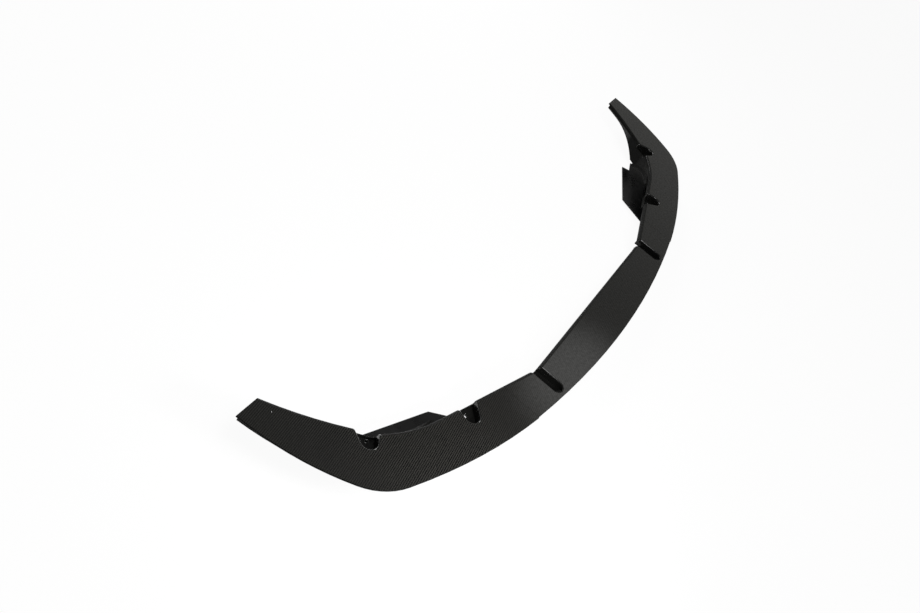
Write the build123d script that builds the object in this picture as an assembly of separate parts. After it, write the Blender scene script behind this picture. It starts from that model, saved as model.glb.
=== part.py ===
from build123d import *
import math
import os

# Front splitter lip: one moulded skin, with a duct tray bonded under each wing.
# Millimetres. X runs across the car, the leading edge faces -Y, the show face is up.
# The origin lies midway between the two outer screw holes, on the pocket floors.

# Skin
WALL = 3.0                # laminate thickness
EDGE_BEVEL = 1.0          # sanded bevel along the leading edge
REAR_BEND = 8.0           # outside radius of the rolled rear edge
RIM_DEPTH = 12.0          # how far the rear edge turns down

# Spans from the centre line outwards
GROOVE_X = 325.0          # middle of the recess beside the centre section
INNER_STEP = 220.0        # recess to inner screw
OUTER_STEP = 205.0        # inner screw to outer screw
OVERHANG = 154.5          # outer screw to the outside of the tip

# Leading edge
NOSE_REACH = 258.0        # on the centre line, ahead of the outer screws
NOSE_BOW = 36.2           # how much the centre stretch falls back at its ends
STEP_OUT = 107.0          # recess to the end of the centre stretch
EDGE_STEP = 1.0           # the wing stands this much ahead of the centre there
STEP_ROUND = 2.0          # in plan, at both ends of that step
CORNER_OUT = 73.3         # outer screw to the corner of wing and arm
CORNER_AHEAD = 92.3       # the same corner, ahead of the outer screws
CORNER_RADIUS = 144.0
WING_BOW = 15.0
ARM_BOW = 17.3
TIP_REACH = 187.0         # tips, behind the outer screws
TIP_CHORD = 60.0          # width of the cut end

# Rear edge
CENTRE_CHORD = 101.5      # depth of the blade on the centre line
GROOVE_SKEW = 4.2         # the wing starts this much further back than the centre
CUT_OUT = 60.0            # inner screw to the inner end of the cut-in
CUT_BACK = 73.7           # that end, ahead of the outer screws
CUT_BOW = 9.5             # how deep the cut-in bows into the blade
MOUTH_IN = 10.0           # outer pocket's mouth, inboard of its screw
MOUTH_OUT = 10.8          # and outboard of it
MOUTH_RISE = 34.3         # how much further back the outboard end is
ARM_INNER_BOW = 4.3
PLAN_ROUND = 14.0         # round of the corners of the rear edge in plan

# Deep stretch of the rear edge beside the outer screw
GUSSET_DEPTH = 57.0
GUSSET_START = 60.0       # where it starts to deepen, ahead of the outer screws
GUSSET_BACK = 9.0         # front end of its level foot, behind the outer screws
GUSSET_FOOT = 13.0        # length of that foot
GUSSET_RUN = 140.0        # how far back along the arm it fades out
TIP_RELIEF = 6.0          # the turned edge stops this short of the tip
FLARE_WIDTH = 8.0         # lower edge turned out into the bay
FLARE_DROP = 49.3         # blade face down to the flare, at the pocket's mouth
FLARE_FALL_BACK = 0.96    # its slope towards the back
FLARE_RISE_OUT = 0.18     # and outwards
FLARE_TAPER = 45.0        # it fades out towards the inner end of the cut-in

# Screw pockets
POCKET_DEPTH = 20.0       # blade face down to the floor, where the screw seats
POCKET_RADIUS = 18.0
POCKET_SETBACK = 10.0     # round end's centre to the screw
POCKET_DRAFT = 6.0        # degrees
POCKET_FLARE = 30.0       # degrees, how one cheek opens out towards the mouth
OUTER_TURN = 148.0        # degrees, way out of the outer pocket's mouth
RIM_ROUND = 3.0           # round along the pocket rims
SILL_RISE = 6.0           # wall left across each pocket's mouth, above its floor
SILL_ROUND = 2.0
SCREW_RADIUS = 3.3
INNER_INSET = 15.0        # inner screw, ahead of the rear edge
TIP_HOLE_RADIUS = 1.5
TIP_HOLE_IN = 54.5        # from the outside of the tip
TIP_HOLE_AHEAD = 35.0     # from the cut end

# Recesses beside the centre section
GROOVE_WIDTH = 30.0
GROOVE_DEPTH = 18.0
GROOVE_MARGIN = 11.0      # skin left ahead of the recess
GROOVE_RAMP = 30.0        # length of the rising front end
GROOVE_SILL = 6.0         # upright step left ahead of it
NOTCH_WIDTH = 20.0        # gap cut through at the back
NOTCH_LENGTH = 11.0
JOINT_LINE = 0.5          # fine line across the blade at the step
JOINT_DEPTH = 0.2

# Return under the outside of each tip
RETURN_DEPTH = 9.0
RETURN_LENGTH = 80.0
RETURN_RELIEF = 4.0

# Duct trays
TRAY_WALL = 3.0
TRAY_DROP = 65.5          # blade face down to the tray at its inboard rear corner
TRAY_RISE_OUT = 0.01      # slope of the tray outwards
TRAY_FALL_BACK = 0.126    # and down towards the back
TRAY_IN = 192.0           # outer screw to that corner
TRAY_AHEAD = 43.5         # the corner, ahead of the outer screws
TRAY_REAR_RUN = 160.0     # rear edge, across the car
TRAY_REAR_RISE = 68.0     # rear edge, towards the back
TRAY_SIDE_LEAN = 0.6      # inward lean of the side edge for each mm ahead
TRAY_NOTCH_WIDTH = 4.0
TRAY_NOTCH_DEPTH = 23.0
TRAY_END_RISE = 13.0
TRAY_END_OUT = 14.0       # tray end, outboard of the outer screw
RISER_INSET = 40.0        # front wall, back from the leading edge
BOND_WIDTH = 14.0         # glued foot of the front wall
TRAY_END_LEAN = 0.35      # outward lean of the open end for each mm ahead

TOUCH = 0.01              # two edges this close are the same edge
BLADE_TOP = POCKET_DEPTH
BLADE_UNDER = BLADE_TOP - WALL
X_INNER = GROOVE_X + INNER_STEP
X_OUTER = X_INNER + OUTER_STEP
X_TIP = X_OUTER + OVERHANG
X_STEP = GROOVE_X + STEP_OUT
Y_STEP = NOSE_BOW - NOSE_REACH
Y_REAR = CENTRE_CHORD - NOSE_REACH
DEEP = GUSSET_DEPTH + WALL            # depth of the blocks the skin is cut from
FAR = 2 * X_TIP                       # larger than the part

cut_inner = (X_INNER + CUT_OUT, -CUT_BACK)
groove_corner = (GROOVE_X + GROOVE_WIDTH / 4, Y_REAR + GROOVE_SKEW)
mouth_inner = (X_OUTER - MOUTH_IN, 0)


def rear_edge_y(x):
    """Straight wing stretch of the rear edge."""
    along = (x - groove_corner[0]) / (cut_inner[0] - groove_corner[0])
    return groove_corner[1] + along * (cut_inner[1] - groove_corner[1])


TRAY_CORNER = (X_OUTER - TRAY_IN, -TRAY_AHEAD)
TIP_HOLE = (X_TIP - TIP_HOLE_IN, TIP_REACH - TIP_HOLE_AHEAD)
NOSE_RADIUS = (X_STEP**2 + NOSE_BOW**2) / (2 * NOSE_BOW)
GROOVE_FRONT = GROOVE_MARGIN - NOSE_REACH + GROOVE_X**2 / (2 * NOSE_RADIUS)
WING_ANGLE = math.degrees(math.atan2(cut_inner[1] - groove_corner[1], cut_inner[0] - groove_corner[0]))
# Each pocket's place, and the side its flared cheek is on
POCKETS = [
    (Pos(X_OUTER, 0) * Rot(0, 0, OUTER_TURN), -1),
    (Pos(X_INNER, rear_edge_y(X_INNER) - INNER_INSET) * Rot(0, 0, WING_ANGLE + 90), 1),
]


def run_on(arc, share):
    """The same arc, longer by a share of its length."""
    return ThreePointArc(arc @ 0, arc @ 0.5, arc @ share)


def plan_region():
    """Plan inside the leading edge: centre, right wing and arm, drawn on past the cut tip."""
    corner = (X_OUTER + CORNER_OUT, -CORNER_AHEAD)
    step_in = (X_STEP - EDGE_STEP, Y_STEP)
    step_out = (X_STEP + EDGE_STEP, Y_STEP - EDGE_STEP)
    arm = run_on(SagittaArc(corner, (X_TIP, TIP_REACH), -ARM_BOW), 1.2)
    beyond = arm @ 1
    edges = [
        SagittaArc((-X_STEP, Y_STEP), step_in, -NOSE_BOW),
        Line(step_in, step_out),
        SagittaArc(step_out, corner, -WING_BOW),
        arm,
        Line(beyond, (-X_STEP, beyond.Y)),
        Line((-X_STEP, beyond.Y), (-X_STEP, Y_STEP)),
    ]
    face = make_face(edges)
    face = fillet(face.vertices().sort_by_distance((*corner, 0))[0], CORNER_RADIUS)
    steps = [face.vertices().sort_by_distance((*point, 0))[0] for point in (step_in, step_out)]
    return fillet(steps, STEP_ROUND)


def bay_region():
    """Plan of the open bay between the arms, up to the rear edge of the blade."""
    centre_end = (GROOVE_X - GROOVE_WIDTH / 4, Y_REAR)
    mouth_outer = (X_OUTER + MOUTH_OUT, MOUTH_RISE)
    arm = run_on(SagittaArc(mouth_outer, (X_TIP - TIP_CHORD, TIP_REACH), -ARM_INNER_BOW), 1.6)
    beyond = arm @ 1
    edges = [
        Line((-X_STEP, Y_REAR), centre_end),
        Line(centre_end, groove_corner),
        Line(groove_corner, cut_inner),
        SagittaArc(cut_inner, mouth_inner, -CUT_BOW),
        Line(mouth_inner, mouth_outer),
        arm,
        Line(beyond, (-X_STEP, beyond.Y)),
        Line((-X_STEP, beyond.Y), (-X_STEP, Y_REAR)),
    ]
    face = make_face(edges)
    turns = [centre_end, groove_corner, cut_inner, mouth_inner, mouth_outer]
    corners = [face.vertices().sort_by_distance((*turn, 0))[0] for turn in turns]
    return fillet(corners, PLAN_ROUND)


def grown(face, amount):
    """The face with its outline moved out, or in for a negative amount, drawn as lines and arcs."""
    edges = []
    for edge in offset(face, amount).face().outer_wire().edges():
        if edge.geom_type == GeomType.LINE:
            edges.append(Line(edge @ 0, edge @ 1))
        else:
            edges.append(ThreePointArc(edge @ 0, edge @ 0.5, edge @ 1))
    return make_face(edges)


PLAN = plan_region()
BAY = bay_region()
WIDE_BAY = grown(BAY, WALL)


def column(face, low, high):
    """Upright prism over a plan face."""
    return Pos(0, 0, low) * extrude(face, high - low)


def across(outline):
    """Prism along X from an outline drawn with Y to the right and Z up."""
    return extrude(Plane.YZ * outline, FAR, both=True)


def polygon(*points):
    """Straight-sided face through the points."""
    return make_face(Polyline(*points, close=True))


def near(edges, wire, level):
    """Those edges at one level that follow a plan outline."""
    flat = edges.filter_by_position(Axis.Z, level - TOUCH, level + TOUCH)
    return [edge for edge in flat if wire.distance_to(edge @ 0.5 - (0, 0, level)) < TOUCH]


def turned_edge_outline():
    """Side view of what stays of the skin: blade above, turned edge with its deep gusset below."""
    rim = BLADE_TOP - RIM_DEPTH
    deep = BLADE_TOP - GUSSET_DEPTH
    heel = GUSSET_BACK + GUSSET_FOOT
    rim_end = TIP_REACH - TIP_RELIEF
    edges = [
        Line((-FAR, rim), (-GUSSET_START, rim)),
        Line((-GUSSET_START, rim), (GUSSET_BACK, deep)),
        Line((GUSSET_BACK, deep), (heel, deep)),
        TangentArc((GUSSET_RUN, rim), (heel, deep), tangent=(-1, 0)),
        Line((GUSSET_RUN, rim), (rim_end, rim)),
        Line((rim_end, rim), (rim_end, BLADE_UNDER)),
        Line((rim_end, BLADE_UNDER), (TIP_REACH, BLADE_UNDER)),
        Line((TIP_REACH, BLADE_UNDER), (TIP_REACH, BLADE_TOP)),
        Line((TIP_REACH, BLADE_TOP), (-FAR, BLADE_TOP)),
        Line((-FAR, BLADE_TOP), (-FAR, rim)),
    ]
    return make_face(edges)


def slanted_layer(corner, rise_out, fall_back, top, bottom):
    """Tilted layer through a corner, between two distances from its plane."""
    plane = Plane(origin=corner, z_dir=(-rise_out, fall_back, 1))
    return extrude(plane.offset(bottom) * Rectangle(FAR, FAR), top - bottom)


def flare():
    """Lower edge of the gusset turned out into the bay, fading out towards the wing."""
    fade = (mouth_inner[0] - FLARE_TAPER, GUSSET_BACK)
    limit = polygon(cut_inner, (X_TIP, cut_inner[1]), (X_TIP, GUSSET_BACK), fade)
    strip = (WIDE_BAY - grown(BAY, -FLARE_WIDTH)) & limit
    corner = (*mouth_inner, BLADE_TOP - FLARE_DROP)
    layer = slanted_layer(corner, FLARE_RISE_OUT, FLARE_FALL_BACK, 0, -WALL)
    return column(strip, -DEEP, BLADE_TOP - RIM_DEPTH) & layer


def pocket_outline(side, grow=0.0):
    """Pocket in plan about its screw: round end, mouth towards +X, one cheek flared tangent to the round."""
    radius = POCKET_RADIUS + grow
    reach = POCKET_RADIUS + POCKET_SETBACK
    turn = math.radians(POCKET_FLARE)
    tangent = (-POCKET_SETBACK - radius * math.sin(turn), side * radius * math.cos(turn))
    flared = side * (radius + (reach + POCKET_SETBACK) * math.sin(turn)) / math.cos(turn)
    mouth = polygon((-POCKET_SETBACK, -side * radius), tangent, (reach, flared), (reach, -side * radius))
    return Pos(-POCKET_SETBACK, 0) * Circle(radius) + mouth


def pocket_hollow(side):
    """Space inside a pocket, drafted, with its screw hole."""
    space = extrude(Pos(0, 0, BLADE_TOP) * pocket_outline(side), -POCKET_DEPTH, taper=POCKET_DRAFT)
    return space + column(Circle(SCREW_RADIUS), -2 * WALL, 0)


def pocket_cup(side):
    """Outside of a pocket under the blade."""
    outline = Pos(0, 0, BLADE_TOP) * pocket_outline(side, WALL)
    return extrude(outline, -POCKET_DEPTH - WALL, taper=POCKET_DRAFT)


def sill_cuts():
    """What is taken off the low wall across each pocket's mouth to round it over towards the bay."""
    ledge = column(PLAN - BAY, -DEEP, SILL_RISE)
    ledge = fillet(near(ledge.edges(), BAY.face().outer_wire(), SILL_RISE), SILL_ROUND)
    inset = (BLADE_TOP - SILL_RISE) * math.tan(math.radians(POCKET_DRAFT))
    spans = [place * pocket_outline(side, -inset) for place, side in POCKETS]
    return [column(span, SILL_RISE - SILL_ROUND, SILL_RISE) - ledge for span in spans]


def groove_side(drop):
    """Side view of the space above the recess floor, lowered by some thickness."""
    floor = BLADE_TOP - GROOVE_DEPTH
    front = GROOVE_FRONT
    foot = front + GROOVE_RAMP
    edges = [
        TangentArc((foot, floor), (front, BLADE_TOP - GROOVE_SILL), tangent=(-1, 0)),
        Line((front, BLADE_TOP - GROOVE_SILL), (front, FAR)),
        Line((front, FAR), (FAR, FAR)),
        Line((FAR, FAR), (FAR, floor)),
        Line((FAR, floor), (foot, floor)),
    ]
    return grown(make_face(edges), drop) if drop else make_face(edges)


def groove_outline(grow=0.0):
    """Recess in plan: straight, with a round front end."""
    radius = GROOVE_WIDTH / 2
    middle = GROOVE_FRONT + radius
    length = Y_REAR + GROOVE_WIDTH - middle
    body = Pos(GROOVE_X, middle + length / 2) * Rectangle(GROOVE_WIDTH + 2 * grow, length)
    return body + Pos(GROOVE_X, middle) * Circle(radius + grow)


def groove_block(grow=0.0):
    """Solid that fills the recess, or its outside when grown by the skin."""
    return column(groove_outline(grow), -DEEP, BLADE_TOP) & across(groove_side(grow))


def groove_notch():
    """Gap through the rear end of the recess floor."""
    left = GROOVE_X + GROOVE_WIDTH / 2 - NOTCH_WIDTH
    gap = Pos(left + NOTCH_WIDTH / 2, Y_REAR + GROOVE_SKEW) * Rectangle(NOTCH_WIDTH, 2 * NOTCH_LENGTH)
    return column(gap, -DEEP, BLADE_UNDER - GROOVE_DEPTH + 2 * WALL)


def tip_return():
    """Strip turned down under the outside of the tip, tapering out along the arm."""
    end = TIP_REACH - RETURN_RELIEF
    wedge = polygon((end - RETURN_LENGTH, BLADE_UNDER), (end, BLADE_TOP - RETURN_DEPTH), (end, BLADE_UNDER))
    strip = PLAN - Pos(-WALL, 0) * PLAN
    return column(strip, -DEEP, BLADE_UNDER) & across(wedge)


def right_half():
    """Half of the lip: block with its rounds and hollows, less the space under the skin."""
    outside = column(PLAN - BAY, BLADE_TOP - DEEP, BLADE_TOP)
    outside = fillet(near(outside.edges(), BAY.face().outer_wire(), BLADE_TOP), REAR_BEND)
    front = near(outside.edges(), PLAN.face().outer_wire(), BLADE_TOP)
    outside = chamfer(front, EDGE_BEVEL)
    hollows = [place * pocket_hollow(side) for place, side in POCKETS]
    below = column(Rectangle(2 * FAR, 2 * FAR), -DEEP, SILL_RISE)
    outside -= [hollow - below for hollow in hollows] + [groove_block()]
    rims = [place * pocket_outline(side) for place, side in POCKETS] + [groove_outline()]
    lines = [line for rim in rims for line in near(outside.edges(), rim.face().outer_wire(), BLADE_TOP)]
    outside = fillet(lines, RIM_ROUND)
    below -= column(WIDE_BAY, -DEEP, SILL_RISE)
    outside -= [hollow & below for hollow in hollows] + sill_cuts()
    cups = [place * pocket_cup(side) for place, side in POCKETS] + [groove_block(WALL)]
    inside = column(Rectangle(2 * FAR, 2 * FAR) - WIDE_BAY, BLADE_TOP - 2 * DEEP, BLADE_UNDER)
    inside = fillet(near(inside.edges(), WIDE_BAY.face().outer_wire(), BLADE_UNDER), REAR_BEND - WALL)
    kept = across(turned_edge_outline()) + cups
    body = (outside - (inside - cups)) & kept
    body += [flare(), tip_return()]
    body -= groove_notch()
    body -= column(Pos(*TIP_HOLE) * Circle(TIP_HOLE_RADIUS), 0, BLADE_TOP)
    body -= column(Pos(X_STEP, -FAR / 2) * Rectangle(JOINT_LINE, FAR), BLADE_TOP - JOINT_DEPTH, BLADE_TOP)
    return body & Pos(FAR / 2, 0, 0) * Box(FAR, FAR, FAR)


def tray_layer(top, bottom):
    """Tilted layer between two distances from the tray's upper face."""
    corner = (*TRAY_CORNER, BLADE_TOP - TRAY_DROP)
    return slanted_layer(corner, TRAY_RISE_OUT, TRAY_FALL_BACK, top, bottom)


def moved_back(amount):
    """The plan, moved back square to the leading edge of the wing."""
    turn = math.atan2(-CORNER_AHEAD - Y_STEP, X_OUTER + CORNER_OUT - X_STEP)
    return Pos(-amount * math.sin(turn), amount * math.cos(turn)) * PLAN


def right_tray():
    """Duct tray: tilted floor and a front wall with its glued foot."""
    corner_x, corner_y = TRAY_CORNER
    rear_end = (corner_x + TRAY_REAR_RUN, corner_y + TRAY_REAR_RISE)
    notch = (rear_end[0] + TRAY_NOTCH_WIDTH, rear_end[1] - TRAY_NOTCH_DEPTH)
    step = (X_OUTER + TRAY_END_OUT, notch[1] + TRAY_END_RISE)
    ahead = corner_y - NOSE_REACH
    inner_end = (corner_x - TRAY_SIDE_LEAN * NOSE_REACH, ahead)
    outer_end = (step[0] + TRAY_END_LEAN * (step[1] - ahead), ahead)
    outline = polygon(TRAY_CORNER, rear_end, notch, step, outer_end, inner_end)
    inner = moved_back(RISER_INSET + TRAY_WALL)
    wall_face = moved_back(RISER_INSET)
    foot_edge = moved_back(RISER_INSET - BOND_WIDTH)
    floor = column(outline & wall_face, -FAR, BLADE_UNDER) & tray_layer(0, -TRAY_WALL)
    wall = column(outline & (wall_face - inner), -FAR, BLADE_UNDER) & tray_layer(FAR, -TRAY_WALL)
    foot = column(outline & (foot_edge - inner), BLADE_UNDER - TRAY_WALL, BLADE_UNDER)
    return floor + wall + foot


right = right_half()
lip = (right + mirror(right, about=Plane.YZ)).solid()
tray = right_tray().solid()
other_tray = mirror(tray, about=Plane.YZ).solid()

os.makedirs("parts", exist_ok=True)
export_step(lip, "parts/splitter_lip.step")
export_step(tray, "parts/right_duct_tray.step")
export_step(other_tray, "parts/left_duct_tray.step")
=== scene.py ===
import math
import bmesh
import bpy
from mathutils import Euler, Matrix, Vector


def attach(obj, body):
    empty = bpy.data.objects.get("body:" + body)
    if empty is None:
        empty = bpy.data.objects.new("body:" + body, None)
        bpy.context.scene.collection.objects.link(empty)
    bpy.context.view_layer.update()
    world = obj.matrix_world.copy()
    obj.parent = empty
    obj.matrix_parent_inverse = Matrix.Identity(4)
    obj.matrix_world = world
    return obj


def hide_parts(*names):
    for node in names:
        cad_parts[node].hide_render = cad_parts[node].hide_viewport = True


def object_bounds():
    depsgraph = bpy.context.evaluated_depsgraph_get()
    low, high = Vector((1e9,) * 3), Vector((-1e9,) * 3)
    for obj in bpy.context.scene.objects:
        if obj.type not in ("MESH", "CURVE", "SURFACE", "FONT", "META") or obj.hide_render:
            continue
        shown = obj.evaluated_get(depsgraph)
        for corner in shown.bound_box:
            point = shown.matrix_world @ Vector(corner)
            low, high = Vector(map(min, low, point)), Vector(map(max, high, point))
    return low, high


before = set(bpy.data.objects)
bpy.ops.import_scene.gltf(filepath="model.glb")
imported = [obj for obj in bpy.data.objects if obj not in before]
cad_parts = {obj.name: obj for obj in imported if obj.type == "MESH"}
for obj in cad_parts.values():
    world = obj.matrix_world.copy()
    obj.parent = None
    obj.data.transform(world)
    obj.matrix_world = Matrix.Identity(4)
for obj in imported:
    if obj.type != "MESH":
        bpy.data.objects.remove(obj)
cad_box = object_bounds()

# Lip: one skin of carbon twill cloth in epoxy, laid up in a mould and cured in one go.
# The show face has a thick clear lacquer, polished, and the cloth shows through it as fine slanting
# lines;
# the rolled rear edge, the pocket walls and the underside are dark resin. Faces lying deeper below the
# show
# face are drawn in the same dark: painted shade in the pockets and under the rear edge.

SHARP_TURN = math.radians(35)
TOUCHING = 1e-6
BROAD_FACE_WEIGHT = 90    # how far the large flat faces set the shading beside them


def skin_of(node):
    """Copy of a solid with its loose triangles joined, smooth up to its real edges."""
    mesh = bpy.data.meshes.new(node + "_skin")
    shape = bmesh.new()
    shape.from_mesh(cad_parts[node].data)
    bmesh.ops.remove_doubles(shape, verts=shape.verts, dist=TOUCHING)
    for face in shape.faces:
        face.smooth = True
    for edge in shape.edges:
        edge.smooth = edge.calc_face_angle(0) < SHARP_TURN
    shape.to_mesh(mesh)
    shape.free()
    piece = bpy.data.objects.new(node + "_skin", mesh)
    bpy.context.scene.collection.objects.link(piece)
    even = piece.modifiers.new("even_normals", "WEIGHTED_NORMAL")
    even.keep_sharp = True
    even.weight = BROAD_FACE_WEIGHT
    return piece


class Wire:
    """A socket in a material. Sums on it add Math nodes, and node() adds any other kind."""

    def __init__(self, tree, maker=None, output=0):
        self.tree = tree
        self.maker = maker
        self.socket = maker.outputs[output] if maker and maker.outputs else None

    def also(self, output):
        """Another output of the same node."""
        return Wire(self.tree, self.maker, output)

    def node(self, kind, settings=(), inputs=(), output=0):
        made = self.tree.nodes.new(kind)
        for name, value in dict(settings).items():
            setattr(made, name, value)
        for name, value in dict(inputs).items():
            if isinstance(value, Wire):
                self.tree.links.new(value.socket, made.inputs[name])
            else:
                made.inputs[name].default_value = value
        return Wire(self.tree, made, output)

    def math(self, operation, *values):
        return self.node("ShaderNodeMath", {"operation": operation}, enumerate(values))

    def __add__(self, other):
        return self.math("ADD", self, other)

    def __radd__(self, other):
        return self.math("ADD", other, self)

    def __sub__(self, other):
        return self.math("SUBTRACT", self, other)

    def __rsub__(self, other):
        return self.math("SUBTRACT", other, self)

    def __mul__(self, other):
        return self.math("MULTIPLY", self, other)

    def __rmul__(self, other):
        return self.math("MULTIPLY", other, self)

    def between(self, low, high):
        """Value that goes from low to high as this one goes from 0 to 1."""
        return low + (high - low) * self

    def blend(self, low, high):
        """Colour that goes from low to high as this value goes from 0 to 1."""
        settings = {"data_type": "RGBA"}
        return self.node("ShaderNodeMix", settings, {"Factor": self, 6: low, 7: high}, output=2)


def finish_of(name):
    """New material with an empty tree, and the wire that starts its nodes."""
    material = bpy.data.materials.new(name)
    material.use_nodes = True
    material.node_tree.nodes.clear()
    return material, Wire(material.node_tree)


TOW = 0.0014              # width of one bundle of fibres
TWILL = 4                 # bundles after which the weave repeats
CLOTH_TURN = math.radians(127)
# painted sheen: the bundles on top are drawn light and the ones under them nearly black, though both are
# the same black fibre
SHEEN_WARP = (0.0188, 0.0183, 0.0164, 1)
SHADED_WEFT = (0.0005, 0.0005, 0.0005, 1)
# dark bare resin on steep faces, and painted shade on faces deep below the show face
BARE_AND_SHADED = (0.004, 0.004, 0.0037, 1)
CLOTH_ROUGH = (0.34, 0.50)
TOW_SHADE = (0.55, 1.0)   # painted shading: from the shaded edge of a bundle to its lit crown
CROWN_HEIGHT = 0.0002
CLOUDS_PER_TOW = 0.35     # slow change of shade over the cloth
CLOUD_SHADE = (0.7, 1.3)
FLECKS_PER_TOW = 0.22     # slow change of gloss over the lacquer
FLECK_GLOSS = (0.45, 1.25)
CORNER = 0.68             # painted sheen: the weave is drawn with most contrast near the front corners
CORNER_REACH = 0.19
FAINT_CLOTH = 0.42        # how far the weave still shows elsewhere
EVEN_SHADE = 0.38         # the shade that it fades to
SHOW_TOP = cad_box[1].z
SHADE_DEPTH = 0.020        # painted shade: over this depth below the show face the colour goes dark and the gloss fades
STEEPEST = 0.9            # upward part of the normal where the lacquer ends
UNPOLISHED = 0.03         # gloss that is left there
ARM_START = 0.060         # behind this the rear edge is lacquered all the way down
ARM_FADE = 0.020
FLANGE_TOP = 0.013        # under the bend of the rear edge
FLANGE_FADE = 0.0033
SCREW_POCKETS = (Vector((0.750, 0)), Vector((0.545, -0.106)))
RECESS = Vector((0.325, -0.180))
POCKET_REACH = 0.034


def drape(piece):
    """Lay the cloth's coordinates over the skin, with the lacquer's clearness and polish, and painted
    shade that darkens faces lying deeper below the show face.
    """
    mesh = piece.data
    mesh.uv_layers.new(name="cloth")
    mesh.attributes.new("lacquer_and_shade", "FLOAT", "CORNER")
    mesh.attributes.new("polish", "FLOAT", "CORNER")
    cloth = mesh.uv_layers["cloth"]
    lacquer_and_shade = mesh.attributes["lacquer_and_shade"]
    polish = mesh.attributes["polish"]
    for loop, corner in zip(mesh.loops, mesh.corner_normals):
        place = mesh.vertices[loop.vertex_index].co
        normal = corner.vector
        drop = SHOW_TOP - place.z
        cloth.uv[loop.index].vector = place.xy + normal.xy * drop
        level = min(max((normal.z - STEEPEST) / (1 - STEEPEST), 0), 1)
        # painted shade: faces deeper below the show face lose the weave's colour and turn dark
        clear = level * max(1 - drop / SHADE_DEPTH, 0)
        outward = math.copysign(1, place.x)
        spot = Vector((outward * place.x, place.y))
        lean = Vector((outward * normal.x, normal.y))
        gaps = [hollow - spot for hollow in (*SCREW_POCKETS, RECESS)]
        nearest = min(gaps, key=lambda gap: gap.length)
        in_hollow = nearest.length < POCKET_REACH and nearest.dot(lean) > 0 and place.z > -TOUCHING
        lacquer_and_shade.data[loop.index].value = clear
        polish.data[loop.index].value = 1.0 if in_hollow else clear


def carbon():
    material, start = finish_of("lacquered_carbon")
    cloth = start.node("ShaderNodeUVMap", {"uv_map": "cloth"})
    turned = start.node("ShaderNodeMapping", {}, {
        "Vector": cloth,
        "Rotation": (0, 0, CLOTH_TURN),
        "Scale": (1 / TOW, 1 / TOW, 1),
    })
    split = turned.node("ShaderNodeSeparateXYZ", {}, {"Vector": turned})
    across = split.also("X")
    along = split.also("Y")
    column = across.math("FLOOR", across)
    row = along.math("FLOOR", along)
    phase = column.math("FLOORED_MODULO", column + row, TWILL)
    warp_up = phase.math("LESS_THAN", phase, TWILL / 2 - 0.5)
    warp_crown = 2 * across.math("FRACT", across) - 1
    weft_crown = 2 * along.math("FRACT", along) - 1
    warp_crown = 1 - warp_crown * warp_crown
    weft_crown = 1 - weft_crown * weft_crown
    crown = warp_up * warp_crown + (1 - warp_up) * weft_crown
    cloud = start.node("ShaderNodeTexNoise", {}, {
        "Vector": turned,
        "Scale": CLOUDS_PER_TOW,
        "Detail": 2.0,
    })
    # painted sheen and shading: the bundle on top is drawn lit, the one under it dark, and each bundle
    # darker at its edges
    shade = crown.between(*TOW_SHADE) * warp_up * cloud.between(*CLOUD_SHADE)
    place = start.node("ShaderNodeTexCoord", output=3)
    place = place.node("ShaderNodeSeparateXYZ", {}, {"Vector": place})
    # painted sheen: the weave's contrast is greatest near the front corners and fades away from them
    from_corner = place.math("ABSOLUTE", place.math("ABSOLUTE", place) - CORNER)
    painted_corner_sheen = start.node("ShaderNodeMapRange", {"interpolation_type": "SMOOTHSTEP"}, {
        "Value": from_corner,
        "From Min": CORNER_REACH / 3,
        "From Max": CORNER_REACH,
        "To Min": 1.0,
        "To Max": FAINT_CLOTH,
    })
    shade = EVEN_SHADE + painted_corner_sheen * (shade - EVEN_SHADE)
    lacquer_and_shade = start.node("ShaderNodeAttribute", {"attribute_name": "lacquer_and_shade"}).also("Fac")
    colour = lacquer_and_shade.blend(BARE_AND_SHADED, shade.blend(SHADED_WEFT, SHEEN_WARP))
    polish = start.node("ShaderNodeAttribute", {"attribute_name": "polish"}).also("Fac")
    behind = (place.also("Y") - ARM_START) * (1 / ARM_FADE)
    below = (FLANGE_TOP - place.also("Z")) * (1 / FLANGE_FADE)
    arm = place.node("ShaderNodeMath", {"operation": "MINIMUM", "use_clamp": True}, {0: behind, 1: below})
    polish = polish.math("MAXIMUM", polish, arm)
    fleck = start.node("ShaderNodeTexNoise", {}, {
        "Vector": turned,
        "Scale": FLECKS_PER_TOW,
        "Detail": 1.0,
    })
    polish = polish * fleck.between(*FLECK_GLOSS)
    bump = start.node("ShaderNodeBump", {}, {
        "Strength": 0.35,
        "Distance": CROWN_HEIGHT,
        "Height": crown,
    })
    surface = start.node("ShaderNodeBsdfPrincipled", {}, {
        "Base Color": colour,
        "Roughness": cloud.between(*CLOTH_ROUGH),
        "Normal": bump,
        "Specular IOR Level": 0.04,
        "Coat Weight": polish.between(UNPOLISHED, 1),
        "Coat Roughness": 0.07,
        "Coat IOR": 1.5,
    })
    start.node("ShaderNodeOutputMaterial", {}, {"Surface": surface})
    return material


lip = skin_of("splitter_lip")
drape(lip)
lip.data.materials.append(carbon())
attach(lip, "root")
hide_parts("splitter_lip")

# Hole beads: the resin stands up in a small smooth ring round each screw hole, where the
# pin that made the hole stood in the mould. Clear resin over black, part of the same cure.

BEAD_RADIUS = 0.0041
BEAD_THICK = 0.0012
BEAD_SIDES = 10
BEAD_STEPS = 36
BEAD_DARK = (0.004, 0.004, 0.004, 1)
BEAD_PALE = (0.020, 0.020, 0.019, 1)
BEAD_ROUGH = (0.08, 0.20)


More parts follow.
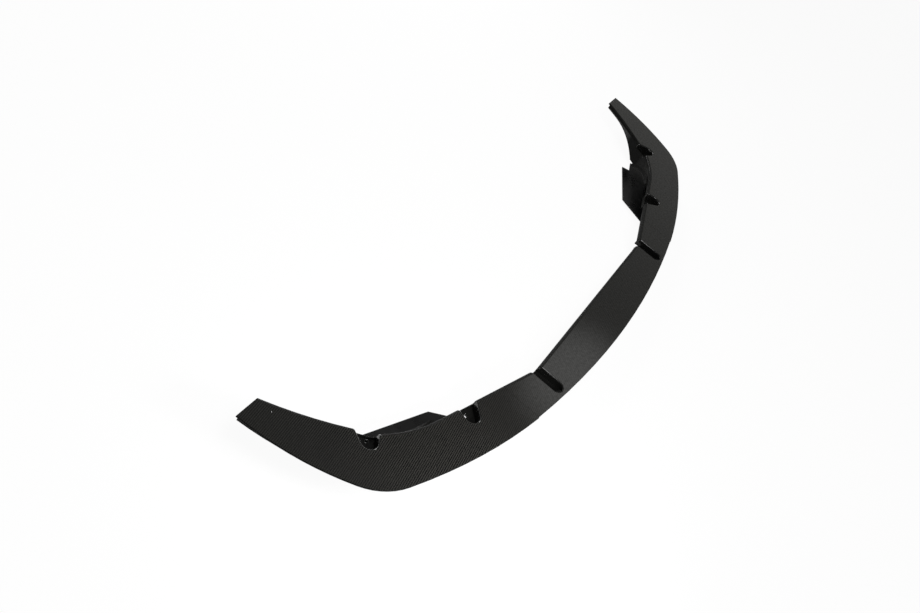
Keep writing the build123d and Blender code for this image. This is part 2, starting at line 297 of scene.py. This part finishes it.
def clear_resin():
    material, start = finish_of("clear_resin")
    place = start.node("ShaderNodeTexCoord", output=3)
    cloud = start.node("ShaderNodeTexNoise", {}, {"Vector": place, "Scale": 400.0})
    surface = start.node("ShaderNodeBsdfPrincipled", {}, {
        "Base Color": cloud.blend(BEAD_DARK, BEAD_PALE),
        "Roughness": cloud.between(*BEAD_ROUGH),
        "Coat Weight": 1.0,
    })
    start.node("ShaderNodeOutputMaterial", {}, {"Surface": surface})
    return material


bead_finish = clear_resin()
for side in (-1, 1):
    for pocket in SCREW_POCKETS:
        shape = bmesh.new()
        bmesh.ops.create_circle(shape, segments=BEAD_SIDES, radius=BEAD_THICK / 2)
        bmesh.ops.rotate(shape, verts=shape.verts, matrix=Matrix.Rotation(math.pi / 2, 3, "X"))
        bmesh.ops.translate(shape, verts=shape.verts, vec=(BEAD_RADIUS, 0, 0))
        bmesh.ops.spin(
            shape,
            geom=list(shape.verts) + list(shape.edges),
            axis=(0, 0, 1),
            angle=math.tau,
            steps=BEAD_STEPS,
            use_merge=True,
        )
        bmesh.ops.recalc_face_normals(shape, faces=shape.faces)
        bmesh.ops.translate(shape, verts=shape.verts, vec=(side * pocket.x, pocket.y, 0))
        for face in shape.faces:
            face.smooth = True
        mesh = bpy.data.meshes.new("hole_bead")
        shape.to_mesh(mesh)
        shape.free()
        mesh.materials.append(bead_finish)
        bead = bpy.data.objects.new("hole_bead", mesh)
        bpy.context.scene.collection.objects.link(bead)
        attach(bead, "root")

# Duct trays: a plain black moulded panel under each wing, one left and one right.
# Satin black resin with no cloth showing; the foot of the front wall is glued under the blade.

TRAY_DARK = (0.0012, 0.0012, 0.0013, 1)
TRAY_PALE = (0.003, 0.003, 0.0031, 1)
TRAY_ROUGH = (0.20, 0.40)
GRAIN_HEIGHT = 0.0003


def satin_black():
    material, start = finish_of("satin_black")
    place = start.node("ShaderNodeTexCoord", output=3)
    mottle = start.node("ShaderNodeTexNoise", {}, {"Vector": place, "Scale": 35.0, "Detail": 3.0})
    grain = start.node("ShaderNodeTexNoise", {}, {"Vector": place, "Scale": 900.0, "Detail": 2.0})
    bump = start.node("ShaderNodeBump", {}, {
        "Strength": 0.12,
        "Distance": GRAIN_HEIGHT,
        "Height": grain,
    })
    surface = start.node("ShaderNodeBsdfPrincipled", {}, {
        "Base Color": mottle.blend(TRAY_DARK, TRAY_PALE),
        "Roughness": mottle.between(*TRAY_ROUGH),
        "Normal": bump,
        "Specular IOR Level": 0.35,
    })
    start.node("ShaderNodeOutputMaterial", {}, {"Surface": surface})
    return material


tray_finish = satin_black()
for node in ("left_duct_tray", "right_duct_tray"):
    tray = skin_of(node)
    tray.data.materials.append(tray_finish)
    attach(tray, "root")
    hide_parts(node)

# Studio: a plain white floor, and a grey room with a darker ceiling and one soft bright patch,
# which the lacquer mirrors. A broad lamp stands high on the left, a small one above the part,
# one far off behind the right tip and a little one in front of the left outer pocket.

FLOOR_SIZE = 40.0
FLOOR_WHITE = (0.92, 0.92, 0.92, 1)
FLOOR_GLOW = 0.94         # the rest of the floor's white is lit, and takes the shadow
WALL_GREY = (0.36, 0.36, 0.348, 1)
WALL_TOP = 0.42           # sine of the elevation where the wall starts to darken
CEILING_GREY = (0.120, 0.120, 0.117, 1)
CEILING_EDGE = 0.70       # sine of the elevation where the ceiling's own grey is reached
BRIGHT_GREY = (1.10, 1.10, 1.09, 1)
BRIGHT_WAY = (0.7530, -0.0520, 0.6560)
BRIGHT_SPREAD = math.radians(4.2)
BACKDROP_WHITE = (1, 1, 1, 1)


def white_floor():
    material, start = finish_of("white_floor")
    matt = start.node("ShaderNodeBsdfDiffuse", {}, {"Color": FLOOR_WHITE})
    glow = start.node("ShaderNodeEmission", {}, {"Color": BACKDROP_WHITE, "Strength": 1.0})
    seen = start.node("ShaderNodeLightPath").also("Is Camera Ray")
    mixed = start.node("ShaderNodeMixShader", {}, {0: FLOOR_GLOW * seen, 1: matt, 2: glow})
    start.node("ShaderNodeOutputMaterial", {}, {"Surface": mixed})
    return material


shape = bmesh.new()
bmesh.ops.create_grid(shape, x_segments=1, y_segments=1, size=FLOOR_SIZE / 2)
bmesh.ops.translate(shape, verts=shape.verts, vec=(0, 0, cad_box[0].z))
floor_mesh = bpy.data.meshes.new("floor")
shape.to_mesh(floor_mesh)
shape.free()
floor_mesh.materials.append(white_floor())
floor = bpy.data.objects.new("floor", floor_mesh)
bpy.context.scene.collection.objects.link(floor)

room = bpy.data.worlds.new("room")
room.use_nodes = True
room.node_tree.nodes.clear()
start = Wire(room.node_tree)
way = start.node("ShaderNodeTexCoord")
height = start.node("ShaderNodeSeparateXYZ", {}, {"Vector": way}).also("Z")
rise = start.node("ShaderNodeMapRange", {}, {
    "Value": height,
    "From Min": WALL_TOP,
    "From Max": CEILING_EDGE,
})
nearness = start.node("ShaderNodeVectorMath", {"operation": "DOT_PRODUCT"}, {0: way, 1: BRIGHT_WAY})
bright = start.node("ShaderNodeMapRange", {"interpolation_type": "SMOOTHSTEP"}, {
    "Value": nearness.also("Value"),
    "From Min": math.cos(BRIGHT_SPREAD),
    "From Max": 1.0,
})
colour = bright.blend(rise.blend(WALL_GREY, CEILING_GREY), BRIGHT_GREY)
seen = start.node("ShaderNodeLightPath").also("Is Camera Ray")
backdrop = start.node("ShaderNodeBackground", {}, {"Color": seen.blend(colour, BACKDROP_WHITE)})
start.node("ShaderNodeOutputWorld", {}, {"Surface": backdrop})
bpy.context.scene.world = room


def soft_lamp(name, place, aim, wide, tall, power):
    lamp = bpy.data.lights.new(name, "AREA")
    lamp.shape = "RECTANGLE"
    lamp.size = wide
    lamp.size_y = tall
    lamp.energy = power
    holder = bpy.data.objects.new(name, lamp)
    holder.location = place
    holder.rotation_euler = (Vector(aim) - Vector(place)).to_track_quat("-Z", "Y").to_euler()
    holder.visible_camera = False
    bpy.context.scene.collection.objects.link(holder)


soft_lamp("top_lamp", place=(-0.30, -0.10, 1.6), aim=(-0.30, -0.10, 0), wide=0.35, tall=0.35, power=5)
soft_lamp("rear_lamp", place=(1.49, 1.58, 1.19), aim=(-0.76, -0.02, 0), wide=0.5, tall=0.9, power=24)
soft_lamp("key_lamp", place=(-0.90, -0.50, 2.0), aim=(-0.30, -0.10, 0), wide=0.9, tall=0.9, power=24)
soft_lamp("front_lamp", place=(-0.74, -0.42, 0.30), aim=(-0.73, -0.10, 0), wide=0.15, tall=0.15, power=4)

# Camera: looks down along the lip from beyond its left end, turned well over on its side.
# Its place, turn and focal length were fitted to the photo together with the lip's outline.

PHOTO_WIDTH = 920         # pixels
FOCAL_PIXELS = 900
SENSOR_WIDTH = 36         # millimetres
CAMERA_PLACE = (-1.75995, -0.12049, 1.30717)
CAMERA_TURN = (42.374, -25.612, -57.667)  # degrees

view = bpy.data.cameras.new("photo_view")
view.sensor_width = SENSOR_WIDTH
view.sensor_fit = "HORIZONTAL"
view.lens = SENSOR_WIDTH * FOCAL_PIXELS / PHOTO_WIDTH
camera = bpy.data.objects.new("photo_view", view)
camera.location = CAMERA_PLACE
camera.rotation_euler = Euler([math.radians(turn) for turn in CAMERA_TURN])
bpy.context.scene.collection.objects.link(camera)
bpy.context.scene.camera = camera
bpy.context.scene.view_settings.view_transform = "Standard"
